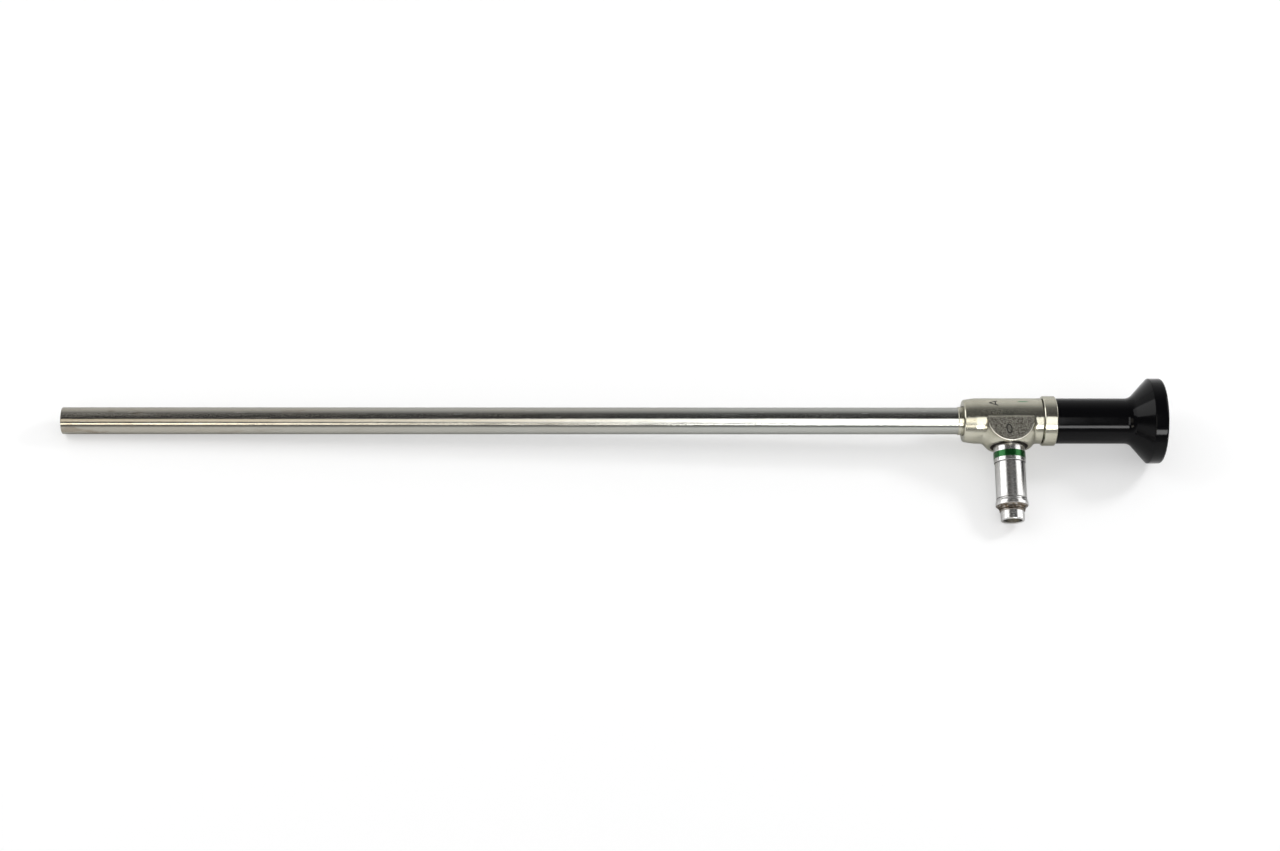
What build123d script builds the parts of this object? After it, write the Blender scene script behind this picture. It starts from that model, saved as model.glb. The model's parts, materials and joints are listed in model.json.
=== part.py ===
from build123d import *
import math
import os

# Rigid rod-lens endoscope with a straight view, lying on a flat surface.
# It is drawn along X: the tip at x = 0, the eyepiece at the far end, the light post along -Y
# and its milled flats square to Z. At the end every piece is laid down in one rest pose.
# Sizes are in millimetres and degrees.

# Insertion tube
tube_radius = 5.0
tube_wall = 0.35
tube_edge = 0.12            # rounding of the tube's rim at the tip
working_length = 335.0      # tip to the front face of the housing

# Tube ferrule, the stepped ring in front of the housing
ferrule_wall = 0.5
ferrule_step = 0.25         # the first step is this much lower
ferrule_groove = 0.15       # left of the wall in the groove between the steps
ferrule_reach = 1.9         # how far the ferrule shows in front of the housing
ferrule_first = 0.9         # width of the first step
ferrule_gap = 0.35          # width of the groove
ferrule_seat = 6.0          # how far it goes into the housing
ground_step = 0.2           # the tube is ground this much smaller inside the ferrule

# Housing
housing_radius = 8.5
front_radius = 7.9          # the nose tapers down to this
nose_taper = 4.3
edge_round = 0.35
chamber_wall = 1.9
joint_gap = 0.3             # groove between the housing and the locking ring
neck_step = 0.9             # the neck under the ring is this much smaller than the housing
neck_wall = 0.7
neck_length = 3.2
seat_depth = 6.2            # how far the ocular reaches into the housing

# Boss of the light post
post_offset = 17.0          # front face of the housing to the axis of the post
post_rear = 12.2            # axis of the post to the rear face of the housing
boss_radius = 12.0
boss_centre = 1.35          # from the tube's axis towards the post
boss_flat = 8.4             # half the distance between the two milled flats
spot_face = 10.1            # flat seat of the post, from the tube's axis
boss_blend = 2.0            # less where the housing has no room for it
boss_edge = 0.4
flat_chamfer = 0.2

# Light post and its colour ring
post_radius = 5.85
post_length = 6.6           # the part that shows between housing and adapter
post_edge = 0.25            # with the sleeve's edge this makes the seam's small groove
spigot_radius = 4.6
spigot_length = 2.9
nose_radius = 4.7           # threaded nose that carries the adapter
nose_length = 16.3
ring_start = 2.5            # seat of the post to the colour ring
colour_width = 2.5
colour_depth = 0.35
colour_stand = 0.08         # the ring stands this much proud of the post

# Adapter on the post
sleeve_radius = 5.65
sleeve_length = 13.8
sleeve_edge = 0.2
shoulder_radius = 6.05
shoulder_flare = 1.6        # length over which the collar widens
shoulder_land = 0.9
shoulder_nose = 0.75        # length of its steep front chamfer
shoulder_drop = 0.85        # height of that chamfer

# Connector tip
tip_radius = 4.4
tip_length = 5.75
tip_edge = 0.35
mouth_radius = 3.43
mouth_edge = 0.2
mouth_depth = 3.4           # from the mouth down to the polished fibre end
bead_height = 0.55          # first bead, over the tip's radius
bead_drop = 0.2             # the second bead is this much lower
bead_width = 0.6
bead_gap = 0.25
bead_start = 0.82
bead_edge = 0.15

# Fibre light guide
guide_radius = 2.9          # the gathered bundle in the post
guide_bend = 5.0
funnel_step = 0.6           # the post's bore is this much wider where the bundle enters
funnel_length = 2.0

# Inner tube and relay optics
fibre_layer = 1.0           # thickness of the ring of fibres between the two tubes
inner_wall = 0.25
rod_count = 6
spacer_length = 6.0
cap_thickness = 1.8
foot_length = 6.0           # full-width ends of a rod
waist_depth = 0.12
land_width = 0.4            # flat ring around each curved glass face
rod_sag = 0.45
cap_sag = 0.3               # the cemented faces between rod and cap are flat

# Objective
window_thickness = 0.8
cell_length = 19.2
cell_wall = 0.4
negative_thickness = 1.1
negative_sag = 0.4
objective_air = 1.9
objective_rod_length = 8.0
objective_sag = 0.35
doublet_thickness = 2.6

# Locking ring
ring_width = 4.85
ring_stand = 0.8
ring_edge = 0.3

# Eyepiece
barrel_length = 27.95       # locking ring to where the cone would start if it had no blend
cone_length = 6.8
flare_blend = 4.0
rim_radius = 15.9
rim_width = 5.0
rim_front_edge = 0.5
rim_rear_edge = 1.0
recess_depth = 8.0
recess_land = 0.9           # flat width of the rear face
recess_step = 0.6           # the recess is this much wider than the bore at its floor

# Ocular
ocular_wall = 1.35
collar_length = 6.0
stop_distance = 9.4
stop_thickness = 0.6
stop_aperture = 2.6
notch_size = 0.5
stop_wall = 0.6
lens_thickness = 4.5
lens_sag = 0.9
lens_spacing = 1.5
retainer_length = 3.0
retainer_recess = 0.8       # the retainer sits this deep in its tube
retainer_wall = 0.8

# Eyepiece window
seal_thickness = 0.4
seal_width = 1.2
glass_thickness = 1.6
ring_thickness = 1.8
window_ring_wall = 1.4
slot_width = 1.2
slot_depth = 0.6

# Square-cut seals of the ocular and the post
seal_groove = 0.7           # depth and width of the groove
seal_place = 2.4            # from the front end of the ocular
post_seal_place = 1.0       # from the seat of the post

# Clearances
lens_fit = 0.03             # glass in its tube, all round
tube_fit = 0.03             # tube in its bore, all round
thread_fit = 0.05           # screwed pieces, all round
seal_fit = 0.02             # seal in its groove, all round

# Places along the tube's axis
post_x = working_length + post_offset
housing_rear = post_x + post_rear
ring_front = housing_rear + joint_gap
ring_rear = ring_front + ring_width
flare_corner = ring_rear + barrel_length
rim_front = flare_corner + cone_length
rim_rear = rim_front + rim_width
chamber_front = working_length + ferrule_seat
ocular_front = housing_rear - seat_depth
inner_rear = ocular_front + collar_length
recess_floor = rim_rear - recess_depth
glass_rear = recess_floor - ring_thickness
glass_front = glass_rear - glass_thickness
ocular_rear = glass_front - seal_thickness
neck_rear = housing_rear + neck_length

# Radii that follow from each other
bundle_radius = tube_radius - tube_wall - tube_fit
bundle_bore = bundle_radius - fibre_layer
inner_radius = bundle_bore - tube_fit
bore_radius = inner_radius - inner_wall
glass_radius = bore_radius - lens_fit
dome_radius = glass_radius - land_width
cell_bore = glass_radius - cell_wall
cell_glass = cell_bore - lens_fit
cell_dome = cell_glass - land_width
ferrule_radius = tube_radius + ferrule_wall
ferrule_front = working_length - ferrule_reach
ground_radius = tube_radius - ground_step
chamber_radius = housing_radius - chamber_wall
neck_radius = housing_radius - neck_step
seat_radius = neck_radius - neck_wall
ocular_radius = seat_radius - tube_fit
ocular_bore = ocular_radius - ocular_wall
ocular_glass = ocular_bore - lens_fit
ocular_dome = ocular_glass - land_width
ring_radius = housing_radius + ring_stand
ferrule_bore = mouth_radius + tube_fit
guide_bore = guide_radius + tube_fit
cone_slope = math.atan2(rim_radius - housing_radius, cone_length)
rim_turn = rim_front_edge * math.tan(cone_slope / 2)    # the rim's rounding starts this far in

# Places along the post's axis, from the tube's axis outwards
spigot_inner = spot_face - spigot_length
funnel_end = spigot_inner + funnel_length
sleeve_start = spot_face + post_length
shoulder_start = sleeve_start + sleeve_length
shoulder_crest = shoulder_start + shoulder_flare
shoulder_end = shoulder_crest + shoulder_land + shoulder_nose
nose_end = sleeve_start + nose_length
tip_start = nose_end
tip_end = tip_start + tip_length
fibre_end = tip_end - mouth_depth
post_axis = Axis((post_x, 0, 0), (0, 1, 0))

# Blend between ball and housing, limited by the room on either side of the ball
seam_reach = math.sqrt(boss_radius**2 - (housing_radius - boss_centre)**2)
seam_room = min(post_rear, post_offset - nose_taper) - edge_round - seam_reach
seam_turn = math.asin(seam_reach / boss_radius)
seam_blend = min(boss_blend, seam_room / math.tan(seam_turn / 2))


def turned(*edges):
    """Solid turned about the tube's axis from a closed outline in (x, radius)."""
    return revolve(make_face(Wire(list(edges))), Axis.X)


def turned_points(*points):
    """Solid turned about the tube's axis from straight runs between (x, radius) points."""
    return turned(*Polyline(*points, close=True).edges())


def turned_post(*points):
    """Solid turned about the post's axis from (distance, radius) points."""
    outline = [(post_x + radius, -distance) for distance, radius in points]
    return revolve(make_face(Polyline(*outline, close=True)), post_axis)


def sleeve(start, end, outer, inner):
    """Plain tube on the tube's axis."""
    return turned_points((start, inner), (start, outer), (end, outer), (end, inner))


def glass_face(place, outward, half, sag):
    """Edge of a curved glass face, from the axis to its flat land."""
    if sag == 0:
        return Line((place, 0), (place, half))
    curve = (half**2 + sag**2) / (2 * abs(sag))
    vertex = place + outward * sag
    centre = vertex - outward * math.copysign(curve, sag)
    turn = math.asin(half / curve) / 2
    middle_x = centre + outward * math.copysign(curve, sag) * math.cos(turn)
    return ThreePointArc((vertex, 0), (middle_x, curve * math.sin(turn)), (place, half))


def lens(start, end, radius, half, start_sag, end_sag):
    """Lens with a flat land round each face; a positive sag bulges outwards."""
    front = glass_face(start, -1, half, start_sag)
    rear = glass_face(end, 1, half, end_sag)
    rim = Polyline((start, half), (start, radius), (end, radius), (end, half))
    axis = Line((start - start_sag, 0), (end + end_sag, 0))
    return turned(axis, front, *rim.edges(), rear)


def make_outer_tube():
    """Thin tube with a rounded rim, ground a little smaller where the ferrule sits."""
    bore = tube_radius - tube_wall
    rim = RadiusArc((0, tube_radius - tube_edge), (tube_edge, tube_radius), tube_edge)
    rest = Polyline((tube_edge, tube_radius), (ferrule_front, tube_radius),
                    (ferrule_front, ground_radius), (chamber_front, ground_radius),
                    (chamber_front, bore), (0, bore), (0, tube_radius - tube_edge))
    return turned(rim, *rest.edges())


def make_tube_ferrule():
    start = ferrule_front
    first_end = start + ferrule_first
    groove_end = first_end + ferrule_gap
    bore = ground_radius + tube_fit
    low = ferrule_radius - ferrule_step
    floor = tube_radius + ferrule_groove
    return turned_points(
        (start, bore), (start, low - ferrule_groove), (start + ferrule_groove, low),
        (first_end, low), (first_end, floor), (groove_end, floor),
        (groove_end, ferrule_radius), (chamber_front, ferrule_radius), (chamber_front, bore))


def make_inner_tube():
    return sleeve(0, inner_rear, inner_radius, bore_radius)


def make_fibre_bundle():
    """Ring of fibres between the tubes, gathered behind them and bent into the post."""
    middle = (bundle_radius + bundle_bore) / 2
    ring = sleeve(0, chamber_front, bundle_radius, bundle_bore)
    gather = turned_points(
        (chamber_front, bundle_bore), (chamber_front, bundle_radius),
        (post_x - guide_bend / 2, middle), (post_x - guide_bend / 2, bundle_bore))
    bend_start = (post_x - guide_bend, -middle)
    bend_end = (post_x, -middle - guide_bend)
    path = Wire([
        Line((chamber_front, -middle), bend_start),
        TangentArc(bend_start, bend_end, tangent=(1, 0)),
        Line(bend_end, (post_x, -fibre_end)),
    ])
    section = Plane(origin=(chamber_front, -middle, 0), z_dir=(1, 0, 0)) * Circle(guide_radius)
    guide = sweep(section, path=path)
    room = sleeve(chamber_front, ocular_front, chamber_radius - tube_fit, bundle_bore)
    passage = turned_post((0, 0), (0, guide_radius + funnel_step),
                          (spigot_inner, guide_radius + funnel_step), (funnel_end, guide_radius),
                          (funnel_end, guide_bore), (tip_end, guide_bore), (tip_end, 0))
    keep_out = turned_points((0, 0), (0, bundle_bore), (housing_rear, bundle_bore),
                             (housing_rear, 0))
    return ring + gather + (guide & room) + ((guide & passage) - keep_out)


def make_distal_window():
    return lens(0, window_thickness, glass_radius, dome_radius, 0, 0)


def make_objective_cell():
    return sleeve(window_thickness, window_thickness + cell_length, glass_radius, cell_bore)


def make_objective():
    """Glass in the objective cell, from the window backwards."""
    negative_end = window_thickness + negative_thickness
    rod_start = negative_end + objective_air
    rod_end = rod_start + objective_rod_length
    doublet_end = rod_end + doublet_thickness
    return {
        "negative_lens": lens(window_thickness, negative_end, cell_glass, cell_dome,
                              0, -negative_sag),
        "objective_spacer": sleeve(negative_end, rod_start, cell_glass, cell_dome),
        "objective_rod": lens(rod_start, rod_end, cell_glass, cell_dome, 0, objective_sag),
        "objective_doublet": lens(rod_end, doublet_end, cell_glass, cell_dome,
                                  -objective_sag, objective_sag),
    }


def make_rod(start, end):
    """Rod lens with full-width feet and a slightly thinner waist between them."""
    waist = glass_radius - waist_depth
    front = glass_face(start, -1, dome_radius, rod_sag)
    outline = Polyline(
        (start, dome_radius), (start, glass_radius), (start + foot_length, glass_radius),
        (start + foot_length, waist), (end - foot_length, waist),
        (end - foot_length, glass_radius), (end, glass_radius), (end, 0))
    axis = Line((start - rod_sag, 0), (end, 0))
    return turned(axis, front, *outline.edges())


def make_relay():
    """Row of rods, each with its cemented cap, held apart by spacer tubes."""
    relay_start = window_thickness + cell_length
    pitch = (inner_rear - relay_start + spacer_length) / rod_count
    pieces = {}
    for index in range(rod_count):
        number = index + 1
        start = relay_start + index * pitch
        cap_end = start + pitch - spacer_length
        rod_end = cap_end - cap_thickness
        pieces[f"rod_lens_{number}"] = make_rod(start, rod_end)
        pieces[f"relay_cap_{number}"] = lens(rod_end, cap_end, glass_radius, dome_radius,
                                             0, cap_sag)
        if number < rod_count:
            pieces[f"relay_spacer_{number}"] = sleeve(
                cap_end, cap_end + spacer_length, glass_radius, dome_radius)
    return pieces


def make_body_housing():
    """Turned housing with the ball-shaped boss, its two flats and the bores."""
    front = working_length
    shell = turned_points(
        (front, 0), (front, front_radius - edge_round), (front + edge_round, front_radius),
        (front + nose_taper, housing_radius), (housing_rear - edge_round / 2, housing_radius),
        (housing_rear, housing_radius - edge_round / 2), (housing_rear, neck_radius),
        (neck_rear, neck_radius), (neck_rear, 0))
    ball = Pos(post_x, -boss_centre, 0) * Sphere(boss_radius)
    ball = ball - Pos(post_x, -spot_face - boss_radius, 0) * Box(*[2 * boss_radius] * 3)
    ball = fillet(ball.edges().filter_by(GeomType.CIRCLE).sort_by(Axis.Y)[0], boss_edge)
    body = shell + ball
    seam = [edge for edge in body.edges() if is_boss_seam(edge)]
    body = fillet(seam, seam_blend)
    return body - flat_cutters() - rim_cutters() - housing_bores()


def is_boss_seam(edge):
    """True for an edge where the ball meets the turned shell."""
    point = edge.position_at(0.5)
    radius = math.hypot(point.Y, point.Z)
    ball = math.dist((point.X, point.Y, point.Z), (post_x, -boss_centre, 0))
    return abs(radius - housing_radius) < 0.01 and abs(ball - boss_radius) < 0.01


def rim_cutters():
    """Small chamfer round the curved edge of each milled flat."""
    rim = math.sqrt(boss_radius**2 - boss_flat**2)
    slope = math.acos(boss_flat / boss_radius)
    inner = rim - flat_chamfer
    outer = rim + flat_chamfer * math.cos(slope)
    low = boss_flat - flat_chamfer * math.sin(slope)
    above = boss_flat + flat_chamfer
    outline = Polyline((inner, 0, boss_flat), (outer, 0, low), (outer, 0, above),
                       (inner, 0, above), close=True)
    ring = Pos(post_x, -boss_centre, 0) * revolve(make_face(outline), Axis.Z)
    front = Pos(post_x, -boss_centre - boss_blend - 2 * boss_radius, 0) * Box(*[4 * boss_radius] * 3)
    ring = ring & front
    return ring + mirror(ring, about=Plane.XY)


def flat_cutters():
    """Metal taken off the ball above, below and behind, clear of the turned shell."""
    size = 2 * boss_radius
    shell = turned_points((working_length, 0), (working_length, housing_radius),
                          (housing_rear, housing_radius), (housing_rear, 0))
    block = Box(2 * size, 2 * size, size)
    above = Pos(post_x, 0, boss_flat + size / 2) * block
    below = Pos(post_x, 0, -boss_flat - size / 2) * block
    behind = Pos(post_x, size, 0) * Box(2 * size, 2 * size, 2 * size)
    return above + below + behind - shell


def housing_bores():
    """Bores for the ferrule, the fibre chamber, the ocular and the post."""
    seat = ferrule_radius + tube_fit
    along = turned_points(
        (working_length - edge_round, 0), (working_length - edge_round, seat),
        (chamber_front, seat), (chamber_front, chamber_radius), (ocular_front, chamber_radius),
        (ocular_front, seat_radius), (neck_rear + edge_round, seat_radius),
        (neck_rear + edge_round, 0))
    across = turned_post((0, 0), (0, spigot_radius + tube_fit),
                         (spot_face + boss_edge, spigot_radius + tube_fit),
                         (spot_face + boss_edge, 0))
    return along + across


def make_light_post():
    groove = post_radius - colour_depth
    ring_from = spot_face + ring_start
    ring_to = ring_from + colour_width
    seal_from = spot_face - post_seal_place
    seal_to = seal_from - seal_groove - 2 * seal_fit
    return turned_post(
        (spigot_inner, guide_bore + funnel_step), (spigot_inner, spigot_radius),
        (seal_to, spigot_radius), (seal_to, spigot_radius - seal_groove),
        (seal_from, spigot_radius - seal_groove), (seal_from, spigot_radius),
        (spot_face, spigot_radius), (spot_face, post_radius),
        (ring_from, post_radius), (ring_from, groove), (ring_to, groove), (ring_to, post_radius),
        (sleeve_start - post_edge, post_radius), (sleeve_start, post_radius - post_edge),
        (sleeve_start, nose_radius), (nose_end, nose_radius), (nose_end, ferrule_bore),
        (sleeve_start, ferrule_bore), (sleeve_start, guide_bore), (funnel_end, guide_bore))


def make_colour_ring():
    start = spot_face + ring_start
    end = start + colour_width
    inner = post_radius - colour_depth
    outer = post_radius + colour_stand
    return turned_post((start, inner), (start, post_radius), (start + colour_stand, outer),
                       (end - colour_stand, outer), (end, post_radius), (end, inner))


def make_adapter_sleeve():
    bore = nose_radius + thread_fit
    return turned_post(
        (sleeve_start, bore), (sleeve_start, sleeve_radius - sleeve_edge),
        (sleeve_start + sleeve_edge, sleeve_radius),
        (shoulder_start - sleeve_edge, sleeve_radius),
        (shoulder_start, sleeve_radius - sleeve_edge), (shoulder_start, bore))


def make_adapter_shoulder():
    """Flared collar; its outer line is a soft S from the sleeve to the crest."""
    bore = nose_radius + thread_fit
    land_end = shoulder_crest + shoulder_land
    first = (post_x + sleeve_radius, -shoulder_start)
    crest = (post_x + shoulder_radius, -shoulder_crest)
    lip = (post_x + shoulder_radius, -land_end)
    flare = Spline(first, crest, tangents=[(0, -1), (0, -1)])
    rest = Polyline(
        crest, lip, (post_x + shoulder_radius - shoulder_drop, -shoulder_end),
        (post_x + bore, -shoulder_end), (post_x + bore, -shoulder_start), first)
    return revolve(make_face(Wire([flare, *rest.edges()])), post_axis)


def make_connector_tip():
    """Tip with two beads, an open mouth and a rounded lip."""
    first = tip_radius + bead_height
    second = first - bead_drop
    one = tip_start + bead_start
    one_end = one + bead_width
    two = one_end + bead_gap
    two_end = two + bead_width
    bore = nose_radius - thread_fit
    outline = Polyline(
        (post_x + mouth_radius, -tip_start), (post_x + bore, -tip_start), (post_x + bore, -one),
        (post_x + first, -one), (post_x + first, -one_end + bead_edge),
        (post_x + first - bead_edge, -one_end), (post_x + tip_radius, -one_end),
        (post_x + tip_radius, -two), (post_x + second - bead_edge, -two),
        (post_x + second, -two - bead_edge), (post_x + second, -two_end + bead_edge),
        (post_x + second - bead_edge, -two_end), (post_x + tip_radius, -two_end),
        (post_x + tip_radius, -tip_end + tip_edge))
    lip = RadiusArc((post_x + tip_radius, -tip_end + tip_edge),
                    (post_x + tip_radius - tip_edge, -tip_end), tip_edge)
    mouth = Polyline(
        (post_x + tip_radius - tip_edge, -tip_end), (post_x + mouth_radius + mouth_edge, -tip_end),
        (post_x + mouth_radius, -tip_end + mouth_edge), (post_x + mouth_radius, -tip_start))
    return revolve(make_face(Wire([*outline.edges(), lip, *mouth.edges()])), post_axis)


def make_fibre_ferrule():
    outer = mouth_radius - tube_fit
    return turned_post((sleeve_start, guide_bore), (sleeve_start, outer), (fibre_end, outer),
                       (fibre_end, guide_bore))


def make_post_seal():
    """Square-cut seal in the groove of the post's spigot."""
    outer = spigot_radius + tube_fit - seal_fit
    inner = spigot_radius - seal_groove + seal_fit
    end = spot_face - post_seal_place - seal_fit
    start = end - seal_groove
    return turned_post((start, inner), (start, outer), (end, outer), (end, inner))


def make_rear_seal():
    """Square-cut seal between the ocular housing and the body."""
    start = ocular_front + seal_place - seal_groove / 2
    return sleeve(start, start + seal_groove, seat_radius - seal_fit,
                  ocular_radius - seal_groove + seal_fit)


def make_locking_ring():
    bore = neck_radius + thread_fit
    return turned_points(
        (ring_front, bore), (ring_front, ring_radius - ring_edge),
        (ring_front + ring_edge, ring_radius), (ring_rear - ring_edge, ring_radius),
        (ring_rear, ring_radius - ring_edge), (ring_rear, bore))


def make_ocular_housing():
    """Tube of the ocular, with a front collar on the inner tube and a seal groove."""
    groove = ocular_radius - seal_groove
    half = seal_groove / 2 + seal_fit
    place = ocular_front + seal_place
    collar_bore = inner_radius + tube_fit
    return turned_points(
        (ocular_front, collar_bore), (ocular_front, ocular_radius), (place - half, ocular_radius),
        (place - half, groove), (place + half, groove), (place + half, ocular_radius),
        (ocular_rear, ocular_radius), (ocular_rear, ocular_bore),
        (inner_rear, ocular_bore), (inner_rear, collar_bore))


def make_ocular():
    """Stop near the relay's end, and two lenses held against the retainer behind them."""
    stop_front = inner_rear + stop_distance
    stop_rear = stop_front + stop_thickness
    retainer_end = ocular_rear - retainer_recess
    rear_end = retainer_end - retainer_length
    rear_start = rear_end - lens_thickness
    front_end = rear_start - lens_spacing
    front_start = front_end - lens_thickness
    spacer_bore = ocular_glass - stop_wall
    stop = sleeve(stop_front, stop_rear, ocular_glass, stop_aperture)
    notch = Pos((stop_front + stop_rear) / 2, stop_aperture, 0) * Box(
        2 * stop_thickness, 2 * notch_size, notch_size)
    return {
        "stop_spacer": sleeve(inner_rear, stop_front, ocular_glass, spacer_bore),
        "field_stop": stop - notch,
        "ocular_spacer_front": sleeve(stop_rear, front_start, ocular_glass, spacer_bore),
        "ocular_lens_front": lens(front_start, front_end, ocular_glass, ocular_dome,
                                  0, lens_sag),
        "ocular_spacer_rear": sleeve(front_end, rear_start, ocular_glass, ocular_dome),
        "ocular_lens_rear": lens(rear_start, rear_end, ocular_glass, ocular_dome,
                                 lens_sag / 2, 0),
        "ocular_retainer": sleeve(rear_end, retainer_end, ocular_glass,
                                  ocular_glass - retainer_wall),
    }


def make_eyepiece_cup():
    """Black barrel and flared rim in one piece, bored for the ocular."""
    run, rise = math.cos(cone_slope), math.sin(cone_slope)
    reach = flare_blend * math.tan(cone_slope / 2)
    blend_start = (flare_corner - reach, housing_radius)
    blend_end = (flare_corner + reach * run, housing_radius + reach * rise)
    mouth = rim_radius - rim_rear_edge - recess_land
    neck_front = neck_rear + joint_gap
    neck = neck_radius - thread_fit
    outline = [
        *Polyline((neck_front, seat_radius), (neck_front, neck), (ring_rear, neck),
                  (ring_rear, housing_radius - sleeve_edge),
                  (ring_rear + sleeve_edge, housing_radius), blend_start).edges(),
        TangentArc(blend_start, blend_end, tangent=(1, 0)),
    ]
    cone_end = (rim_front - rim_turn * run, rim_radius - rim_turn * rise)
    rim_start = (rim_front + rim_turn, rim_radius)
    rim_end = (rim_rear - rim_rear_edge, rim_radius)
    face_start = (rim_rear, rim_radius - rim_rear_edge)
    outline += [
        Line(blend_end, cone_end),
        TangentArc(cone_end, rim_start, tangent=(run, rise)),
        Line(rim_start, rim_end),
        TangentArc(rim_end, face_start, tangent=(1, 0)),
        *Polyline(face_start, (rim_rear, mouth), (recess_floor, seat_radius + recess_step),
                  (recess_floor, seat_radius), (neck_front, seat_radius)).edges(),
    ]
    return turned(*outline)


def make_window():
    """Rear window between its flat seal and the ring that holds it."""
    outer = seat_radius - tube_fit
    ring = sleeve(glass_rear, recess_floor, outer, outer - window_ring_wall)
    slot = Pos(recess_floor, 0, 0) * Box(2 * slot_depth, 2 * seat_radius, slot_width)
    return {
        "window_seal": sleeve(ocular_rear, glass_front, outer, outer - seal_width),
        "eyepiece_window": sleeve(glass_front, glass_rear, outer, 0),
        "window_ring": ring - slot,
    }


def make_pieces():
    """Every piece by name, in the instrument's own frame."""
    pieces = {
        "outer_tube": make_outer_tube(),
        "tube_ferrule": make_tube_ferrule(),
        "inner_tube": make_inner_tube(),
        "fibre_bundle": make_fibre_bundle(),
        "distal_window": make_distal_window(),
        "objective_cell": make_objective_cell(),
        "body_housing": make_body_housing(),
        "light_post": make_light_post(),
        "colour_ring": make_colour_ring(),
        "adapter_sleeve": make_adapter_sleeve(),
        "adapter_shoulder": make_adapter_shoulder(),
        "connector_tip": make_connector_tip(),
        "fibre_ferrule": make_fibre_ferrule(),
        "post_seal": make_post_seal(),
        "rear_seal": make_rear_seal(),
        "locking_ring": make_locking_ring(),
        "ocular_housing": make_ocular_housing(),
        "eyepiece_cup": make_eyepiece_cup(),
    }
    pieces.update(make_objective())
    pieces.update(make_relay())
    pieces.update(make_ocular())
    pieces.update(make_window())
    return pieces


def touch_angle(along, across, edge, height):
    """Downward angle at which a rounded end touches the surface below."""
    reach = along - edge
    side = across - edge
    return math.asin((height - edge) / math.hypot(reach, side)) - math.atan2(side, reach)


def rest_pose():
    """Pose on the surface: on the rim, the tube's tip and the end of the light post."""
    run = rim_front + rim_turn - tube_edge
    rise = (rim_radius - rim_front_edge) - (tube_radius - tube_edge)
    extra = rim_front_edge - tube_edge
    pitch = math.asin(extra / math.hypot(run, rise)) + math.atan2(rise, run)
    tip_height = (tube_radius - tube_edge) * math.cos(pitch) + tube_edge * (1 - math.sin(pitch))
    height = tip_height + post_x * math.sin(pitch)
    dip = min(touch_angle(tip_end, tip_radius, tip_edge, height),
              touch_angle(shoulder_crest + shoulder_land, shoulder_radius, 0, height))
    roll = math.degrees(math.asin(math.sin(dip) / math.cos(pitch)))
    turn = Rot(Y=-math.degrees(pitch)) * Rot(X=roll)
    return Pos(0, 0, tip_height) * turn


def resting_frame(pieces):
    """Move of the whole instrument: laid down, origin under the middle of its box."""
    pose = rest_pose()
    box = Compound([pose * piece for piece in pieces.values()]).bounding_box()
    centre = box.center()
    return Pos(-centre.X, -centre.Y, 0) * pose


def main():
    pieces = make_pieces()
    frame = resting_frame(pieces)
    os.makedirs("parts", exist_ok=True)
    for name, piece in pieces.items():
        export_step(frame * piece, f"parts/{name}.step")


main()
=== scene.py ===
import bpy
import json
import math
from mathutils import Matrix, Vector


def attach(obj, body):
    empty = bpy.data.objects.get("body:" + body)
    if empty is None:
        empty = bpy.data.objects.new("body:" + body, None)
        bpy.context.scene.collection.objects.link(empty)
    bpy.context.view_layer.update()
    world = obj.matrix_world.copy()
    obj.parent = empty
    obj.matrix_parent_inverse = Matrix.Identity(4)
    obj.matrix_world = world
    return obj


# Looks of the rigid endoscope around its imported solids: materials, engraved marks, floor, light
# and the photograph's camera. Lengths are in metres and angles in degrees. The instrument's own
# axes start where the post's axis meets the tube's: along the tube, away from the post, and up
# off the flat.

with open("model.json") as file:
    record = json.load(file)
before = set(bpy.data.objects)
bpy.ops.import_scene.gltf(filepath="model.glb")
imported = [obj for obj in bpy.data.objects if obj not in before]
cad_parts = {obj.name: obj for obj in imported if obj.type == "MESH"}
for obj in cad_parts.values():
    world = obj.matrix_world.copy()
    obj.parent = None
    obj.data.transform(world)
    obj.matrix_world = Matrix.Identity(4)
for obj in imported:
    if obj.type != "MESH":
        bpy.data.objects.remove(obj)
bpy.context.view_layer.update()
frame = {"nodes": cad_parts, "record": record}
nodes = frame["nodes"]

# Housing and the milled flats of its boss
housing_radius = 0.0085
housing_grain = 0.75            # how far the turned rings draw out its reflections
flat_height = 0.0084            # milled flats, from the tube's axis
flat_middle = 0.00135           # centre of a flat's round rim, from the tube's axis to the post
flat_reach = 0.00857            # radius of that rim
blast_edge = 0.00006            # depth over which the blasted grain of a flat fades out
blast_fade = (0.0004, 0.0012)   # it fades in between these places, from the tube to the post
pit_depth = 0.00015
rim_line = 0.00016              # half width of the rim's painted highlight line
rim_depth = (0.0004, 0.0003)    # the line fades in between these depths under the flat
rim_fade = (0.003, 0.006)       # and between these places, from the tube to the post

# Small dents on the boss: along the tube from the post's axis, towards the post, and radius
dents = ((0.0042, 0.00665, 0.00032), (0.00506, 0.00781, 0.00038))
dent_depth = 0.0001

# Seams of the light post and its adapter, from the tube's axis along the post
seat_seam = 0.0101
seam_places = (seat_seam, 0.0167, 0.0305)
seam_half = 0.0002
seat_line = 0.0070              # the seat's dark line ends this far from the post's axis
seat_soft = 0.0001
seat_fade = (0.0004, 0.0001)    # and fades in between these depths under the seat
neck_start = 0.0332             # brown tarnish and painted shade round the beads of the connector
neck_end = 0.0352
neck_fade = (0.0002, 0.0003)    # before its start and after its end

# Tarnish of the tube, along it from the post's axis
warm_span = (-0.33, -0.12)
spot_span = (-0.33, -0.22)

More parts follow.
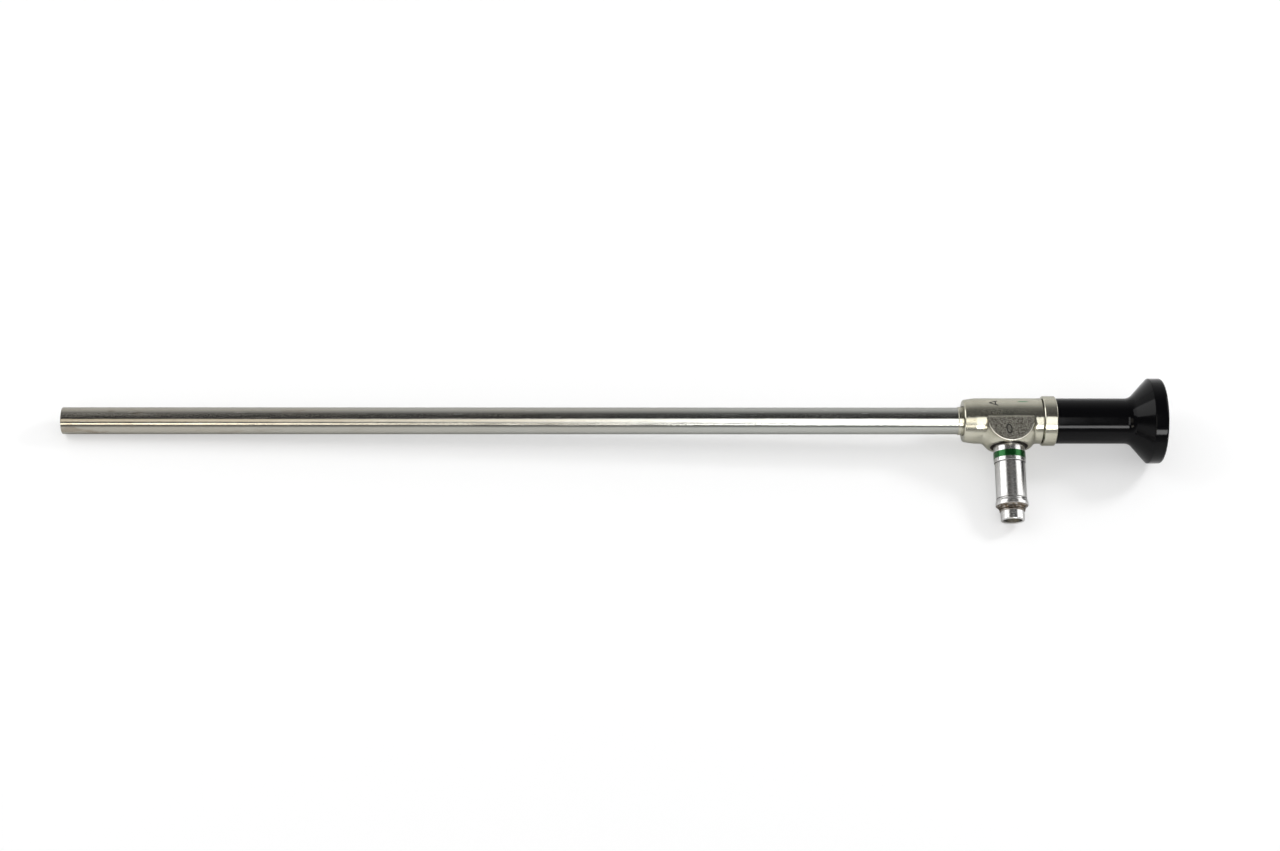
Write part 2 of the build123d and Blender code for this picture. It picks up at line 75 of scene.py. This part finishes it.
# Engraved marks
mark_stand = 0.00001            # an engraved mark is drawn this far over its surface
mark_line = 0.00046
strip_steps = 8
digit_steps = 48
digit_width = 0.0022
digit_height = 0.0039
digit_place = (-0.0009, 0.0056)     # along the tube, and towards the post
digit_tilt = 8.0
arrow_place = (-0.0061, 35.0)   # along the tube, and degrees from the top away from the post
arrow_half = (0.0016, 9.0)
arrow_bar = (0.0007, 6.0)       # place and half length of the bar across it
tick_place = (0.0049, 40.0)
tick_length = 0.0034

# Colours of wear, tarnish and dark seam lines, of painted shade on the neck and of a painted
# highlight on the rims
edge_tint = (0.6, 0.6, 0.6, 1.0)    # metals are this dark where they are seen edge-on
seam_dark_colour = (0.03, 0.026, 0.02)
# brown tarnish with painted shade for the connector's neck
neck_tarnish_and_shade = (0.11, 0.08, 0.05)
tip_tarnish = (0.17, 0.12, 0.07)
# painted highlight for the round rims of the flats
rim_highlight_colour = (0.85, 0.83, 0.76)
pit_bottom = (0.07, 0.066, 0.055)
pit_land = (0.32, 0.31, 0.27)

# Camera fitted to the photograph
camera_place = Vector((-0.018903, -0.465114, 0.742559))
camera_yaw = 3.4812
camera_drop = 57.0001
camera_roll = 3.7807
camera_lens = 65.873

# Light: the lamps' distance from the object, the level of the room's even light, and the share
# of plain white in what the camera sees of the table
lamp_distance = 1.6
dome_level = 0.78
table_lift = 0.4

# Levels of the room in the metal, by half turns from the front over the top to the back
room_levels = ((0.0, 0.60), (0.05, 0.33), (0.09, 0.10), (0.44, 0.04), (0.62, 0.07),
               (0.683, 0.17), (0.75, 0.39), (0.83, 0.67), (0.917, 0.86), (1.0, 0.97))

# Inputs and output of a mix node for each kind of value
mix_sockets = {"FLOAT": (2, 3, 0), "RGBA": (6, 7, 2)}


def instrument_axes():
    """Matrix of the instrument's axes: along the tube, away from the post, and up off the flat."""
    mounts = {mount["name"]: mount for mount in frame["record"]["mounts"]}
    tube, light = mounts["insertion_tube"], mounts["light_connector"]
    along = -Vector(tube["axis"])
    across = -Vector(light["axis"])
    start = Vector(tube["pos_m"])
    origin = start + along * (Vector(light["pos_m"]) - start).dot(along)
    turn = Matrix((along, across, along.cross(across))).transposed().to_4x4()
    return Matrix.Translation(origin) @ turn


axes = instrument_axes()
tube_axis = axes.to_3x3().col[0]
post_axis = -axes.to_3x3().col[1]
flat_axis = axes.to_3x3().col[2]
centre = axes.to_translation()
flat_centre = centre + flat_middle * post_axis


# Shader nodes


def new_material(name):
    """Material with a plain Principled shader, its node tree and that shader."""
    material = bpy.data.materials.new(name)
    material.use_nodes = True
    return material, material.node_tree, material.node_tree.nodes["Principled BSDF"]


def add(tree, kind, **values):
    """New node with its properties set."""
    made = tree.nodes.new(kind)
    for name, value in values.items():
        setattr(made, name, value)
    return made


def feed(tree, value, socket):
    """Give a socket a link or a constant."""
    if isinstance(value, bpy.types.NodeSocket):
        tree.links.new(value, socket)
    else:
        socket.default_value = value


def fed_by(shader, name):
    """Link that feeds a socket of a shader so far."""
    return shader.inputs[name].links[0].from_socket


def vector_math(tree, operation, *values):
    """Vector Math node of links or constant vectors."""
    made = add(tree, "ShaderNodeVectorMath", operation=operation)
    for socket, value in zip(made.inputs, values):
        feed(tree, value, socket)
    return made.outputs["Value" if operation in ("DOT_PRODUCT", "LENGTH") else "Vector"]


def scalar_math(tree, operation, *values):
    """Math node of links or numbers."""
    made = add(tree, "ShaderNodeMath", operation=operation)
    for socket, value in zip(made.inputs, values):
        feed(tree, value, socket)
    return made.outputs["Value"]


def product(tree, first, second):
    return scalar_math(tree, "MULTIPLY", first, second)


def off_from(tree, value, place):
    """How far a value lies from a place, to either side."""
    return scalar_math(tree, "ABSOLUTE", scalar_math(tree, "SUBTRACT", value, place))


def spread(tree, value, low, high, to_low, to_high):
    """Value mapped from one range to another, held at the ends."""
    made = add(tree, "ShaderNodeMapRange")
    tree.links.new(value, made.inputs["Value"])
    for name, number in (("From Min", low), ("From Max", high),
                         ("To Min", to_low), ("To Max", to_high)):
        made.inputs[name].default_value = number
    return made.outputs["Result"]


def blend(tree, kind, amount, first, second):
    """Mix of two numbers or two colours by an amount from 0 to 1."""
    made = add(tree, "ShaderNodeMix", data_type=kind)
    one, other, result = mix_sockets[kind]
    tree.links.new(amount, made.inputs["Factor"])
    feed(tree, first, made.inputs[one])
    feed(tree, second, made.inputs[other])
    return made.outputs[result]


def place_from(tree, point):
    """Place on the surface, measured from a point."""
    coordinates = add(tree, "ShaderNodeTexCoord")
    return vector_math(tree, "SUBTRACT", coordinates.outputs["Object"], tuple(point))


def measured(tree, place, axis):
    """How far a place lies along an axis."""
    return vector_math(tree, "DOT_PRODUCT", place, tuple(axis))


def stretched(tree, place, axis, share):
    """Place squeezed along an axis, so that noise read there is drawn out along it."""
    scaled = add(tree, "ShaderNodeVectorMath", operation="SCALE")
    scaled.inputs[0].default_value = tuple(axis)
    tree.links.new(product(tree, measured(tree, place, axis), share - 1.0),
                   scaled.inputs["Scale"])
    return vector_math(tree, "ADD", place, scaled.outputs["Vector"])


def radius_round(tree, place, axis):
    """Distance of a place from an axis."""
    return vector_math(tree, "LENGTH", stretched(tree, place, axis, 0.0))


def noise(tree, vector, scale, detail=2.0, roughness=0.5):
    """Soft random value from 0 to 1."""
    made = add(tree, "ShaderNodeTexNoise")
    tree.links.new(vector, made.inputs["Vector"])
    made.inputs["Scale"].default_value = scale
    made.inputs["Detail"].default_value = detail
    made.inputs["Roughness"].default_value = roughness
    return made.outputs["Fac"]


def bump(tree, shader, height, strength, distance):
    """Relief on top of what the surface already has; the strength is a number or a link."""
    made = add(tree, "ShaderNodeBump")
    feed(tree, strength, made.inputs["Strength"])
    made.inputs["Distance"].default_value = distance
    tree.links.new(height, made.inputs["Height"])
    for link in shader.inputs["Normal"].links:
        tree.links.new(link.from_socket, made.inputs["Normal"])
    tree.links.new(made.outputs["Normal"], shader.inputs["Normal"])


def tinted(tree, shader, value, low_colour, high_colour):
    """Base colour that moves between two colours with a value from 0 to 1."""
    shade = blend(tree, "RGBA", value, (*low_colour, 1.0), (*high_colour, 1.0))
    tree.links.new(shade, shader.inputs["Base Color"])


def overlay(tree, shader, amount, colour, rough):
    """Lay another colour and roughness over a finished surface, by an amount from 0 to 1."""
    shade = blend(tree, "RGBA", amount, fed_by(shader, "Base Color"), colour)
    tree.links.new(shade, shader.inputs["Base Color"])
    gloss = blend(tree, "FLOAT", amount, fed_by(shader, "Roughness"), rough)
    tree.links.new(gloss, shader.inputs["Roughness"])


# Metals


def draw_grain(tree, shader, place, axis, amount):
    """Metal whose fine lathe rings about an axis draw its reflections out."""
    shader.inputs["Metallic"].default_value = 1.0
    shader.inputs["Specular Tint"].default_value = edge_tint
    shader.inputs["Anisotropic"].default_value = amount
    geometry = add(tree, "ShaderNodeNewGeometry")
    around = vector_math(tree, "CROSS_PRODUCT", tuple(axis), place)
    tangent = vector_math(tree, "CROSS_PRODUCT", geometry.outputs["Normal"], around)
    tree.links.new(tangent, shader.inputs["Tangent"])


def turned_metal(name, axis, colour, worn_colour, rough, grain, ring_scale):
    """Lathe-turned metal with fine rings about an axis and soft stains."""
    material, tree, shader = new_material(name)
    place = place_from(tree, centre)
    draw_grain(tree, shader, place, axis, grain)
    rings = noise(tree, stretched(tree, place, axis, 60.0), ring_scale, 3.0, 0.7)
    stains = noise(tree, place, 160.0, 3.0, 0.6)
    tinted(tree, shader, spread(tree, stains, 0.42, 0.7, 0.0, 1.0), colour, worn_colour)
    both = scalar_math(tree, "ADD", product(tree, rings, 0.5), product(tree, stains, 0.5))
    tree.links.new(spread(tree, both, 0.3, 0.7, rough * 0.8, rough * 1.25),
                   shader.inputs["Roughness"])
    bump(tree, shader, rings, 0.05, 0.00001)
    return material, tree, shader


def tube_steel():
    """Ground steel tube with scratches along it and a warm tarnish that grows to the tip."""
    material, tree, shader = new_material("tube_steel")
    place = place_from(tree, centre)
    draw_grain(tree, shader, place, tube_axis, 0.8)
    along = measured(tree, place, tube_axis)
    stains = noise(tree, stretched(tree, place, tube_axis, 0.12), 120.0, 3.0, 0.6)
    warm = scalar_math(tree, "ADD", spread(tree, along, *warm_span, 0.75, 0.0),
                       spread(tree, stains, 0.45, 0.75, 0.0, 0.4))
    tinted(tree, shader, warm, (0.41, 0.415, 0.39), (0.39, 0.365, 0.31))
    scratches = noise(tree, stretched(tree, place, tube_axis, 0.03), 2600.0, 2.0, 0.6)
    tree.links.new(spread(tree, scratches, 0.35, 0.75, 0.18, 0.28), shader.inputs["Roughness"])
    bump(tree, shader, scratches, 0.04, 0.00001)
    patches = noise(tree, stretched(tree, place, tube_axis, 0.35), 240.0)
    spots = product(tree, spread(tree, patches, 0.62, 0.72, 0.0, 1.0),
                    spread(tree, along, *spot_span, 0.4, 0.0))
    overlay(tree, shader, spots, (*tip_tarnish, 1.0), 0.35)
    return material


def blast_flats(tree, shader, place):
    """Grainy matt surface on the milled flats of the boss."""
    rim = radius_round(tree, place_from(tree, flat_centre), flat_axis)
    inside = spread(tree, rim, flat_reach - blast_edge, flat_reach, 1.0, 0.0)
    height = off_from(tree, measured(tree, place, flat_axis), 0.0)
    level = spread(tree, height, flat_height - blast_edge, flat_height - blast_edge * 0.4, 0.0, 1.0)
    fade = spread(tree, measured(tree, place, post_axis), *blast_fade, 0.0, 1.0)
    blasted = product(tree, product(tree, inside, level), fade)
    pits = noise(tree, place, 2000.0, 3.0, 0.75)
    speckle = blend(tree, "RGBA", spread(tree, pits, 0.40, 0.60, 0.0, 1.0),
                    (*pit_bottom, 1.0), (*pit_land, 1.0))
    overlay(tree, shader, blasted, speckle, spread(tree, pits, 0.3, 0.7, 0.38, 0.62))
    turned = scalar_math(tree, "SUBTRACT", 1.0, blasted)
    tree.links.new(product(tree, turned, housing_grain), shader.inputs["Anisotropic"])
    bump(tree, shader, pits, product(tree, blasted, 0.8), pit_depth)


def press_dents(tree, shader, place):
    """Small round dents in the boss."""
    height = None
    for along, toward, radius in dents:
        spot = along * tube_axis + toward * post_axis
        offset = radius_round(tree, vector_math(tree, "SUBTRACT", place, tuple(spot)), flat_axis)
        rise = spread(tree, offset, radius * 0.2, radius, 0.0, 1.0)
        height = rise if height is None else scalar_math(tree, "MINIMUM", height, rise)
    bump(tree, shader, height, 0.6, dent_depth)


def paint_rim_highlight(tree, shader, place):
    """Painted highlight: a bright line on the round rims of the flats, on their side towards the
    post.
    """
    rim = radius_round(tree, place_from(tree, flat_centre), flat_axis)
    line = spread(tree, off_from(tree, rim, flat_reach), rim_line * 0.5, rim_line, 1.0, 0.0)
    height = off_from(tree, measured(tree, place, flat_axis), 0.0)
    low, high = (flat_height - depth for depth in rim_depth)
    level = spread(tree, height, low, high, 0.0, 1.0)
    fade = spread(tree, measured(tree, place, post_axis), *rim_fade, 0.0, 1.0)
    amount = product(tree, product(tree, line, level), fade)
    # painted highlight laid over the rim's colour
    overlay(tree, shader, amount, (*rim_highlight_colour, 1.0), 0.45)


def darken_seat(tree, shader, place):
    """Dark line on the housing where the post stands on it."""
    radius = radius_round(tree, place, post_axis)
    near = spread(tree, radius, seat_line - seat_soft, seat_line + seat_soft, 1.0, 0.0)
    low, high = (seat_seam - depth for depth in seat_fade)
    level = spread(tree, measured(tree, place, post_axis), low, high, 0.0, 1.0)
    overlay(tree, shader, product(tree, near, level), (*seam_dark_colour, 1.0), 0.5)


def housing_steel():
    """Warm nickel-coloured steel, turned all round, with grainy blasted flats on the boss, a
    painted highlight on their rims and a dark line at the post's seat.
    """
    material, tree, shader = turned_metal("housing_steel", tube_axis, (0.52, 0.505, 0.42),
                                          (0.45, 0.435, 0.35), 0.24, housing_grain, 900.0)
    place = place_from(tree, centre)
    blast_flats(tree, shader, place)
    press_dents(tree, shader, place)
    paint_rim_highlight(tree, shader, place)
    darken_seat(tree, shader, place)
    return material


def polished_steel():
    """Bright post and adapter, with dark lines at their seams and a neck at the beads darkened by
    brown tarnish and painted shade.
    """
    material, tree, shader = turned_metal("polished_steel", post_axis, (0.66, 0.655, 0.65),
                                          (0.56, 0.55, 0.53), 0.25, 0.2, 700.0)
    place = place_from(tree, centre)
    distance = measured(tree, place, post_axis)
    patches = spread(tree, noise(tree, place, 900.0), 0.3, 0.6, 0.55, 1.0)
    for seam in seam_places:
        line = spread(tree, off_from(tree, distance, seam), seam_half * 0.5, seam_half, 1.0, 0.0)
        overlay(tree, shader, product(tree, line, patches), (*seam_dark_colour, 1.0), 0.5)
    # brown tarnish with painted shade on the neck at the beads
    before, after = neck_fade
    zone = product(tree, spread(tree, distance, neck_start - before, neck_start, 0.0, 1.0),
                   spread(tree, distance, neck_end, neck_end + after, 1.0, 0.0))
    overlay(tree, shader, product(tree, zone, patches), (*neck_tarnish_and_shade, 1.0), 0.3)
    return material


# Other materials


def plain_material(name, colour, rough, metallic=0.0, coat=0.0, rough_change=0.15, scale=700.0):
    """One colour with a slightly uneven gloss."""
    material, tree, shader = new_material(name)
    shader.inputs["Metallic"].default_value = metallic
    shader.inputs["Coat Weight"].default_value = coat
    shader.inputs["Coat Roughness"].default_value = 0.08
    uneven = noise(tree, place_from(tree, centre), scale, 3.0, 0.6)
    darker = tuple(part * 0.85 for part in colour)
    tinted(tree, shader, uneven, darker, colour)
    tree.links.new(spread(tree, uneven, 0.3, 0.7, rough * (1 - rough_change),
                          rough * (1 + rough_change)), shader.inputs["Roughness"])
    return material, tree, shader


def black_plastic():
    """Black eyepiece with a soft uneven shine and fine dimples."""
    material, tree, shader = plain_material("black_eyepiece", (0.003, 0.003, 0.0035), 0.1,
                                            rough_change=0.2, scale=260.0)
    shader.inputs["Specular IOR Level"].default_value = 0.1
    bump(tree, shader, noise(tree, place_from(tree, centre), 2400.0), 0.06, 0.00002)
    return material


def optical_glass():
    """Coated glass that lets light through and shows a faint cool sheen."""
    material, tree, shader = new_material("optical_glass")
    shader.inputs["Base Color"].default_value = (0.93, 0.95, 0.96, 1.0)
    shader.inputs["Transmission Weight"].default_value = 1.0
    shader.inputs["IOR"].default_value = 1.52
    smears = noise(tree, place_from(tree, centre), 500.0)
    tree.links.new(spread(tree, smears, 0.3, 0.7, 0.01, 0.05), shader.inputs["Roughness"])
    return material


def fibre_glass():
    """Polished ends of the light fibres: a fine mosaic of pale dots."""
    material, tree, shader = new_material("fibre_glass")
    cells = add(tree, "ShaderNodeTexVoronoi")
    tree.links.new(place_from(tree, centre), cells.inputs["Vector"])
    cells.inputs["Scale"].default_value = 7000.0
    tinted(tree, shader, spread(tree, cells.outputs["Distance"], 0.1, 0.6, 0.0, 1.0),
           (0.62, 0.58, 0.42), (0.16, 0.14, 0.08))
    shader.inputs["Roughness"].default_value = 0.18
    shader.inputs["Coat Weight"].default_value = 0.4
    return material


def make_materials():
    """Material of every slot in the record, and of the engraved marks."""
    made = {
        "tube_steel": tube_steel(),
        "housing_steel": housing_steel(),
        "polished_steel": polished_steel(),
        "ring_steel": turned_metal("ring_steel", tube_axis, (0.45, 0.44, 0.42),
                                   (0.36, 0.35, 0.33), 0.3, 0.5, 900.0)[0],
        "black_eyepiece": black_plastic(),
        "optical_glass": optical_glass(),
        "fibre_glass": fibre_glass(),
    }
    for name, colour, rough, metallic, coat in (
            ("colour_ring", (0.008, 0.105, 0.02), 0.25, 0.8, 0.2),
            ("brass", (0.38, 0.31, 0.15), 0.33, 1.0, 0.0),
            ("black_anodised", (0.02, 0.02, 0.022), 0.45, 0.0, 0.0),
            ("seal_rubber", (0.02, 0.02, 0.02), 0.6, 0.0, 0.0),
            ("engraving", (0.012, 0.012, 0.010), 0.7, 0.0, 0.0),
            ("green_mark", (0.02, 0.16, 0.06), 0.6, 0.0, 0.0)):
        made[name] = plain_material(name, colour, rough, metallic, coat)[0]
    return made


def dress_nodes():
    """Every CAD solid gets the material of its slot in the record."""
    for part in frame["record"]["subparts"]:
        mesh = nodes[part["node"]].data
        mesh.materials.clear()
        mesh.materials.append(materials[part["material_slot"]])


# Engraved marks


def add_mark(name, corners, faces, material):
    """Thin mark from corners in the instrument's axes."""
    mesh = bpy.data.meshes.new(name)
    mesh.from_pydata([axes @ Vector(corner) for corner in corners], [], faces)
    mesh.materials.append(material)
    mark = bpy.data.objects.new(name, mesh)
    bpy.context.scene.collection.objects.link(mark)
    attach(mark, "root")


def make_direction_digit():
    """Engraved 0 on the upper flat, which says that the view is straight ahead."""
    turn = Matrix.Rotation(math.radians(digit_tilt), 2)
    along, toward = digit_place
    corners = []
    for step in range(digit_steps):
        angle = 2 * math.pi * step / digit_steps
        for inset in (0.0, mark_line):
            spot = turn @ Vector(((digit_width / 2 - inset) * math.cos(angle),
                                  (digit_height / 2 - inset) * math.sin(angle)))
            corners.append((along + spot.x, spot.y - toward, flat_height + mark_stand))
    faces = []
    for step in range(digit_steps):
        after = (step + 1) % digit_steps
        faces.append((2 * step, 2 * after, 2 * after + 1, 2 * step + 1))
    add_mark("direction_digit", corners, faces, materials["engraving"])


def round_strip(start, end, width):
    """Corners and faces of a line on the housing between two (along, degrees) places."""
    radius = housing_radius + mark_stand
    ahead = Vector((end[0] - start[0], math.radians(end[1] - start[1]) * radius)).normalized()
    side = Vector((-ahead.y, ahead.x)) * width / 2
    corners = []
    for step in range(strip_steps + 1):
        share = step / strip_steps
        along = start[0] + (end[0] - start[0]) * share
        angle = math.radians(start[1] + (end[1] - start[1]) * share)
        for sign in (-1, 1):
            bent = angle + sign * side.y / radius
            corners.append((along + sign * side.x, radius * math.sin(bent),
                            radius * math.cos(bent)))
    faces = [(2 * i, 2 * i + 1, 2 * i + 3, 2 * i + 2) for i in range(strip_steps)]
    return corners, faces


def make_arrow():
    """Engraved arrow on the far side of the housing's top, which points to the tip."""
    along, angle = arrow_place
    half, opening = arrow_half
    bar, reach = arrow_bar
    strokes = [((along + half, angle - opening), (along - half, angle)),
               ((along - half, angle), (along + half, angle + opening)),
               ((along + bar, angle - reach), (along + bar, angle + reach))]
    for number, (start, end) in enumerate(strokes, 1):
        corners, faces = round_strip(start, end, mark_line)
        add_mark(f"arrow_stroke_{number}", corners, faces, materials["engraving"])


def make_green_tick():
    """Green line on the housing beside the arrow."""
    along, angle = tick_place
    half = tick_length / 2
    corners, faces = round_strip((along - half, angle), (along + half, angle), mark_line)
    add_mark("green_tick", corners, faces, materials["green_mark"])


# Floor, light and camera


def make_floor():
    """White table, lifted towards white for the camera, with its shadow kept."""
    material, tree, shader = new_material("white_table")
    shader.inputs["Base Color"].default_value = (0.96, 0.96, 0.96, 1.0)
    shader.inputs["Roughness"].default_value = 0.8
    shader.inputs["Specular IOR Level"].default_value = 0.2
    glow = add(tree, "ShaderNodeEmission")
    glow.inputs["Strength"].default_value = 1.0
    rays = add(tree, "ShaderNodeLightPath")
    mixed = add(tree, "ShaderNodeMixShader")
    tree.links.new(product(tree, rays.outputs["Is Camera Ray"], table_lift), mixed.inputs["Fac"])
    tree.links.new(shader.outputs["BSDF"], mixed.inputs[1])
    tree.links.new(glow.outputs["Emission"], mixed.inputs[2])
    tree.links.new(mixed.outputs["Shader"], tree.nodes["Material Output"].inputs["Surface"])
    bpy.ops.mesh.primitive_plane_add(size=12.0)
    floor = bpy.context.object
    floor.name = "white_floor"
    floor.data.materials.append(material)


def room_colour(tree):
    """Grey of the room that the metal shows: pale behind and dark overhead."""
    split = add(tree, "ShaderNodeSeparateXYZ")
    tree.links.new(add(tree, "ShaderNodeTexCoord").outputs["Generated"], split.inputs["Vector"])
    front = product(tree, split.outputs["Y"], -1.0)
    angle = scalar_math(tree, "ARCTAN2", split.outputs["Z"], front)
    ramp = add(tree, "ShaderNodeValToRGB")
    tree.links.new(scalar_math(tree, "DIVIDE", angle, math.pi), ramp.inputs["Fac"])
    elements = ramp.color_ramp.elements
    while len(elements) < len(room_levels):
        elements.new(0.5)
    for element, (share, level) in zip(elements, room_levels):
        element.position = share
        element.color = (level, level, level, 1.0)
    return ramp.outputs["Color"]


def make_world():
    """Room round the table: its greys show in the metal, and all else gets even white."""
    world = bpy.data.worlds.new("studio")
    bpy.context.scene.world = world
    world.use_nodes = True
    tree = world.node_tree
    background = tree.nodes["Background"]
    tree.links.new(room_colour(tree), background.inputs["Color"])
    rays = add(tree, "ShaderNodeLightPath")
    shader = background.outputs["Background"]
    for ray, level in (("Is Diffuse Ray", dome_level), ("Is Camera Ray", 1.0)):
        plain = add(tree, "ShaderNodeBackground")
        plain.inputs["Color"].default_value = (1.0, 1.0, 1.0, 1.0)
        plain.inputs["Strength"].default_value = level
        mixed = add(tree, "ShaderNodeMixShader")
        tree.links.new(rays.outputs[ray], mixed.inputs["Fac"])
        tree.links.new(shader, mixed.inputs[1])
        tree.links.new(plain.outputs["Background"], mixed.inputs[2])
        shader = mixed.outputs["Shader"]
    tree.links.new(shader, tree.nodes["World Output"].inputs["Surface"])


def area_lamp(name, place, ahead, width, tall, power):
    """Rectangular lamp that shines along a direction and is hidden from the camera."""
    data = bpy.data.lights.new(name, "AREA")
    data.shape = "RECTANGLE"
    data.size = width
    data.size_y = tall
    data.energy = power
    lamp = bpy.data.objects.new(name, data)
    bpy.context.scene.collection.objects.link(lamp)
    lamp.location = place
    lamp.rotation_mode = "QUATERNION"
    lamp.rotation_quaternion = ahead.to_track_quat("-Z", "Y")
    lamp.visible_camera = False
    return lamp


def soft_lamp(name, turn, height, width, tall, power, sideways=0.0, colour=(1.0, 1.0, 1.0)):
    """Lamp at a turn round the table and a height over it, which shows in the metal only."""
    turn, height = math.radians(turn), math.radians(height)
    place = Vector((math.sin(turn) * math.cos(height), -math.cos(turn) * math.cos(height),
                    math.sin(height))) * lamp_distance
    lamp = area_lamp(name, place + Vector((sideways, 0.0, 0.0)), -place, width, tall, power)
    lamp.data.color = colour
    lamp.visible_diffuse = False


def hidden_lamp(name, place, aim, size, power):
    """Square lamp that lights the table and shows in no metal."""
    lamp = area_lamp(name, place, aim - place, size, size, power)
    lamp.visible_glossy = False


def make_lamps():
    """Lamps by the camera, strips and boxes that show in the metal, and hidden keys behind."""
    soft_lamp("camera_lamp", turn=0.0, height=57.5, width=0.43, tall=1.08, power=6.9,
              sideways=0.215)
    soft_lamp("left_glow", turn=0.0, height=60.0, width=1.0, tall=0.6, power=2.6,
              sideways=-0.50, colour=(1.0, 0.9, 0.74))
    soft_lamp("right_strip", turn=0.0, height=28.0, width=1.02, tall=0.34, power=17.0,
              sideways=0.79)
    soft_lamp("left_strip", turn=0.0, height=29.5, width=0.9, tall=0.24, power=4.2,
              sideways=-0.75, colour=(1.0, 0.92, 0.78))
    soft_lamp("left_box", turn=-110.0, height=28.0, width=0.86, tall=1.5, power=10.0)
    soft_lamp("right_box", turn=108.0, height=26.0, width=0.9, tall=1.5, power=9.0)
    hidden_lamp("left_key", Vector((-0.5, 0.08, 0.6)), Vector((-0.1, 0.0, 0.0)), 0.3, 1.2)
    hidden_lamp("right_key", Vector((0.68, 0.28, 0.5)), Vector((0.15, 0.0, 0.0)), 0.16, 2.2)


def make_camera():
    """Camera of the photograph."""
    data = bpy.data.cameras.new("photo_camera")
    data.lens = camera_lens
    data.clip_start = 0.01
    camera = bpy.data.objects.new("photo_camera", data)
    bpy.context.scene.collection.objects.link(camera)
    yaw, drop, roll = (math.radians(a) for a in (camera_yaw, camera_drop, camera_roll))
    ahead = Vector((math.sin(yaw) * math.cos(drop), math.cos(yaw) * math.cos(drop),
                    -math.sin(drop)))
    level = Vector((math.cos(yaw), -math.sin(yaw), 0.0))
    upright = level.cross(ahead)
    right = level * math.cos(roll) + upright * math.sin(roll)
    up = upright * math.cos(roll) - level * math.sin(roll)
    turn = Matrix((right, up, -ahead)).transposed().to_4x4()
    camera.matrix_world = Matrix.Translation(camera_place) @ turn
    bpy.context.scene.camera = camera


materials = make_materials()
dress_nodes()
make_direction_digit()
make_arrow()
make_green_tick()
make_floor()
make_world()
make_lamps()
make_camera()
bpy.context.scene.view_settings.view_transform = "Standard"
